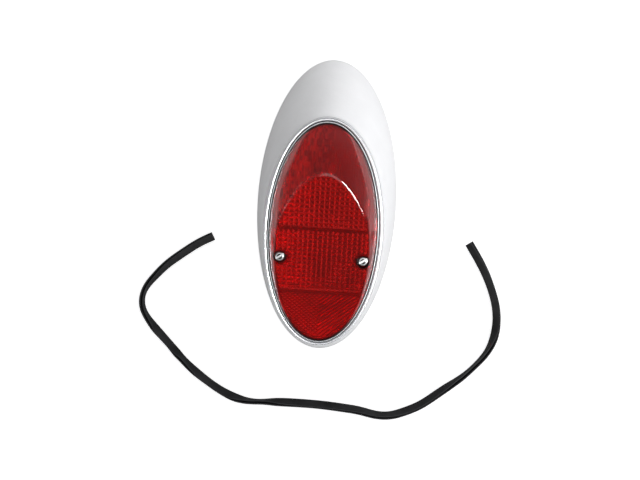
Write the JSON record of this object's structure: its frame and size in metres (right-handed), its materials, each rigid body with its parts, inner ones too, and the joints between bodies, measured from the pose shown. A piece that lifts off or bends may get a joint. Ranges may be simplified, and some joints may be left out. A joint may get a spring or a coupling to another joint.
{
  "type": "tail light",
  "caption": "Oval rear lamp: painted steel pod, plated ring, red prismatic lens held by slotted screws, bayonet bulbs inside, with its loose rubber rim seal.",
  "frame": {"origin": "centre of the oval rim, in the plane of the rim's flat face", "axes": "+Z out of the rim towards the lens, +Y up the lamp along the oval's length, +X to the right seen from the lens side"},
  "size_m": [0.2996, 0.2948, 0.0924],
  "materials": {
    "pod_paint": "light silver-white gloss paint on pressed steel",
    "zinc_steel": "zinc plated steel",
    "reflector_paint": "bright silver reflector paint",
    "socket_brass": "passivated brass",
    "spring_steel": "spring wire",
    "insulator": "brown phenolic board",
    "contact_brass": "bright brass",
    "seal_rubber": "black extruded rubber",
    "trim_chrome": "polished plating",
    "gasket_rubber": "black moulded rubber",
    "lens_red": "clear red acrylic, moulded prisms inside",
    "washer_rubber": "black fibre washer",
    "screw_steel": "plated screw",
    "bulb_glass": "clear glass",
    "bulb_cap_brass": "nickel brass cap",
    "black_glass": "black glass insulator",
    "solder": "solder",
    "filament_steel": "tungsten and nickel wire"
  },
  "bodies": {
    "housing": {"housing_shell": "pod_paint", "upper_fixing_bar": "zinc_steel", "lower_fixing_bar": "zinc_steel", "fixing_nuts": "zinc_steel", "bulb_holder_tray": "reflector_paint", "tray_rivets": "zinc_steel", "upper_divider": "reflector_paint", "lower_divider": "reflector_paint", "lens_nuts": "zinc_steel", "upper_socket": "socket_brass", "lower_socket": "socket_brass", "upper_socket_spring": "spring_steel", "lower_socket_spring": "spring_steel", "terminal_board": "insulator", "terminal_blades": "contact_brass", "earth_blade": "contact_brass", "small_rivets": "zinc_steel", "seal_strip": "seal_rubber"},
    "trim": {"trim_ring": "trim_chrome", "lens_gasket": "gasket_rubber"},
    "lens_body": {"lens": "lens_red"},
    "left_washer_body": {"left_washer": "washer_rubber"},
    "right_washer_body": {"right_washer": "washer_rubber"},
    "left_screw": {"left_lens_screw": "screw_steel"},
    "right_screw": {"right_lens_screw": "screw_steel"},
    "upper_contact": {"upper_contact_disc": "insulator", "upper_contact_pip": "contact_brass"},
    "lower_contact": {"lower_contact_disc": "insulator", "lower_contact_pips": "contact_brass"},
    "upper_bulb": {"upper_bulb_glass": "bulb_glass", "upper_bulb_cap": "bulb_cap_brass", "upper_bulb_insulator": "black_glass", "upper_bulb_contact": "solder", "upper_bulb_filament": "filament_steel"},
    "lower_bulb": {"lower_bulb_glass": "bulb_glass", "lower_bulb_cap": "bulb_cap_brass", "lower_bulb_insulator": "black_glass", "lower_bulb_contacts": "solder", "lower_bulb_filaments": "filament_steel"}
  },
  "joints": [
    {"name": "trim_ring_lift", "type": "slide", "parent": "housing", "child": "trim", "axis": [0, -0.2588, 0.9659], "range_m": [0, 0.04]},
    {"name": "lens_lift", "type": "slide", "parent": "trim", "child": "lens_body", "axis": [0, -0.2588, 0.9659], "range_m": [0, 0.06]},
    {"name": "left_screw_rise", "type": "slide", "parent": "lens_body", "child": "left_washer_body", "axis": [0, -0.2588, 0.9659], "range_m": [0, 0.0056]},
    {"name": "left_screw_turn", "type": "hinge", "parent": "left_washer_body", "child": "left_screw", "pos_m": [-0.033, -0.04659, 0.05972], "axis": [0, -0.2588, 0.9659], "range_deg": [0, 2880]},
    {"name": "right_screw_rise", "type": "slide", "parent": "lens_body", "child": "right_washer_body", "axis": [0, -0.2588, 0.9659], "range_m": [0, 0.0056]},
    {"name": "right_screw_turn", "type": "hinge", "parent": "right_washer_body", "child": "right_screw", "pos_m": [0.033, -0.04659, 0.05972], "axis": [0, -0.2588, 0.9659], "range_deg": [0, 2880]},
    {"name": "upper_bulb_push", "type": "slide", "parent": "housing", "child": "upper_contact", "axis": [0, 0.2588, -0.9659], "range_m": [0, 0.0025], "stiffness_N_per_m": 3000, "deforming": ["upper_socket_spring"]},
    {"name": "upper_bulb_turn", "type": "hinge", "parent": "upper_contact", "child": "upper_bulb", "pos_m": [0, 0.01478, 0.02771], "axis": [0, -0.2588, 0.9659], "range_deg": [0, 22]},
    {"name": "lower_bulb_push", "type": "slide", "parent": "housing", "child": "lower_contact", "axis": [0, 0.2588, -0.9659], "range_m": [0, 0.0025], "stiffness_N_per_m": 3000, "deforming": ["lower_socket_spring"]},
    {"name": "lower_bulb_turn", "type": "hinge", "parent": "lower_contact", "child": "lower_bulb", "pos_m": [0, -0.03545, 0.01426], "axis": [0, -0.2588, 0.9659], "range_deg": [0, 22]}
  ],
  "couplings": [
    {"joint": "left_screw_turn", "follows": "left_screw_rise", "rad_per_m": 8976},
    {"joint": "right_screw_turn", "follows": "right_screw_rise", "rad_per_m": 8976}
  ]
}
